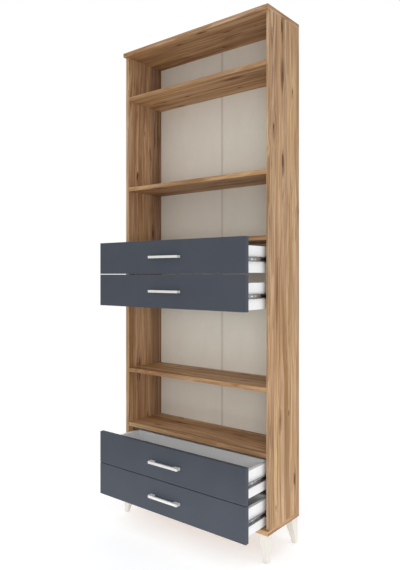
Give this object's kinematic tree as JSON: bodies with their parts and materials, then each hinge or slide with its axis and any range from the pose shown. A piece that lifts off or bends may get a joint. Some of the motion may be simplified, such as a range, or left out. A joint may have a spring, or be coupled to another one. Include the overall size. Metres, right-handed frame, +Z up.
{
  "type": "bookcase with drawers",
  "caption": "Tall open bookcase on tapered legs: wood-look case with fixed shelves and a split back, and wide grey-fronted drawers that run on ball-bearing slides.",
  "frame": {"origin": "on the floor, under the centre of the part's box with the drawers pulled out as pictured", "axes": "+Z up, -Y to the front where the drawers open, +X to the right as seen from the front"},
  "size_m": [0.8, 0.422, 2.178],
  "materials": {
    "oak_decor": "satin melamine with oak grain",
    "back_board": "matt printed hardboard",
    "back_strip": "matt",
    "leg_paint": "satin cream paint",
    "front_board": "matt grey melamine",
    "box_board": "satin white melamine",
    "box_floor": "matt white hardboard",
    "handle_paint": "satin cream paint",
    "rail_steel": "zinc plated",
    "ball_steel": "polished",
    "screw_steel": "zinc plated",
    "zinc": "as cast zinc",
    "lever_plastic": "matt black"
  },
  "bodies": {
    "case": {"left_side_panel": "oak_decor", "right_side_panel": "oak_decor", "top_panel": "oak_decor", "bottom_panel": "oak_decor", "shelf_1": "oak_decor", "shelf_2": "oak_decor", "shelf_3": "oak_decor", "shelf_4": "oak_decor", "shelf_5": "oak_decor", "back_panel_left": "back_board", "back_panel_right": "back_board", "back_joint_strip": "back_strip", "leg_front_left": "leg_paint", "leg_front_right": "leg_paint", "leg_rear_left": "leg_paint", "leg_rear_right": "leg_paint", "cam_locks": "zinc", "cam_bolts": "screw_steel", "case_screws": "screw_steel", "outer_rails": "rail_steel"},
    "drawer_1": {"drawer_1_front": "front_board", "drawer_1_left_side": "box_board", "drawer_1_right_side": "box_board", "drawer_1_back": "box_board", "drawer_1_bottom": "box_floor", "drawer_1_handle": "handle_paint", "drawer_1_fasteners": "screw_steel", "drawer_1_inner_rails": "rail_steel", "drawer_1_release_levers": "lever_plastic"},
    "drawer_2": {"drawer_2_front": "front_board", "drawer_2_left_side": "box_board", "drawer_2_right_side": "box_board", "drawer_2_back": "box_board", "drawer_2_bottom": "box_floor", "drawer_2_handle": "handle_paint", "drawer_2_fasteners": "screw_steel", "drawer_2_inner_rails": "rail_steel", "drawer_2_release_levers": "lever_plastic"},
    "drawer_3": {"drawer_3_front": "front_board", "drawer_3_left_side": "box_board", "drawer_3_right_side": "box_board", "drawer_3_back": "box_board", "drawer_3_bottom": "box_floor", "drawer_3_handle": "handle_paint", "drawer_3_fasteners": "screw_steel", "drawer_3_inner_rails": "rail_steel", "drawer_3_release_levers": "lever_plastic"},
    "drawer_4": {"drawer_4_front": "front_board", "drawer_4_left_side": "box_board", "drawer_4_right_side": "box_board", "drawer_4_back": "box_board", "drawer_4_bottom": "box_floor", "drawer_4_handle": "handle_paint", "drawer_4_fasteners": "screw_steel", "drawer_4_inner_rails": "rail_steel", "drawer_4_release_levers": "lever_plastic"},
    "cages_1": {"ball_cages_1": "ball_steel"},
    "cages_2": {"ball_cages_2": "ball_steel"},
    "cages_3": {"ball_cages_3": "ball_steel"},
    "cages_4": {"ball_cages_4": "ball_steel"}
  },
  "joints": [
    {"name": "drawer_1_slide", "type": "slide", "parent": "case", "child": "drawer_1", "axis": [0, -1, 0], "range_m": [-0.1465, 0.0095]},
    {"name": "drawer_2_slide", "type": "slide", "parent": "case", "child": "drawer_2", "axis": [0, -1, 0], "range_m": [-0.1465, 0.0095]},
    {"name": "drawer_3_slide", "type": "slide", "parent": "case", "child": "drawer_3", "axis": [0, -1, 0], "range_m": [-0.1465, 0.0095]},
    {"name": "drawer_4_slide", "type": "slide", "parent": "case", "child": "drawer_4", "axis": [0, -1, 0], "range_m": [-0.1465, 0.0095]},
    {"name": "cages_1_slide", "type": "slide", "parent": "case", "child": "cages_1", "axis": [0, -1, 0], "range_m": [-0.07325, 0.00475]},
    {"name": "cages_2_slide", "type": "slide", "parent": "case", "child": "cages_2", "axis": [0, -1, 0], "range_m": [-0.07325, 0.00475]},
    {"name": "cages_3_slide", "type": "slide", "parent": "case", "child": "cages_3", "axis": [0, -1, 0], "range_m": [-0.07325, 0.00475]},
    {"name": "cages_4_slide", "type": "slide", "parent": "case", "child": "cages_4", "axis": [0, -1, 0], "range_m": [-0.07325, 0.00475]}
  ],
  "couplings": [
    {"joint": "cages_1_slide", "follows": "drawer_1_slide", "ratio": 0.5},
    {"joint": "cages_2_slide", "follows": "drawer_2_slide", "ratio": 0.5},
    {"joint": "cages_3_slide", "follows": "drawer_3_slide", "ratio": 0.5},
    {"joint": "cages_4_slide", "follows": "drawer_4_slide", "ratio": 0.5}
  ]
}
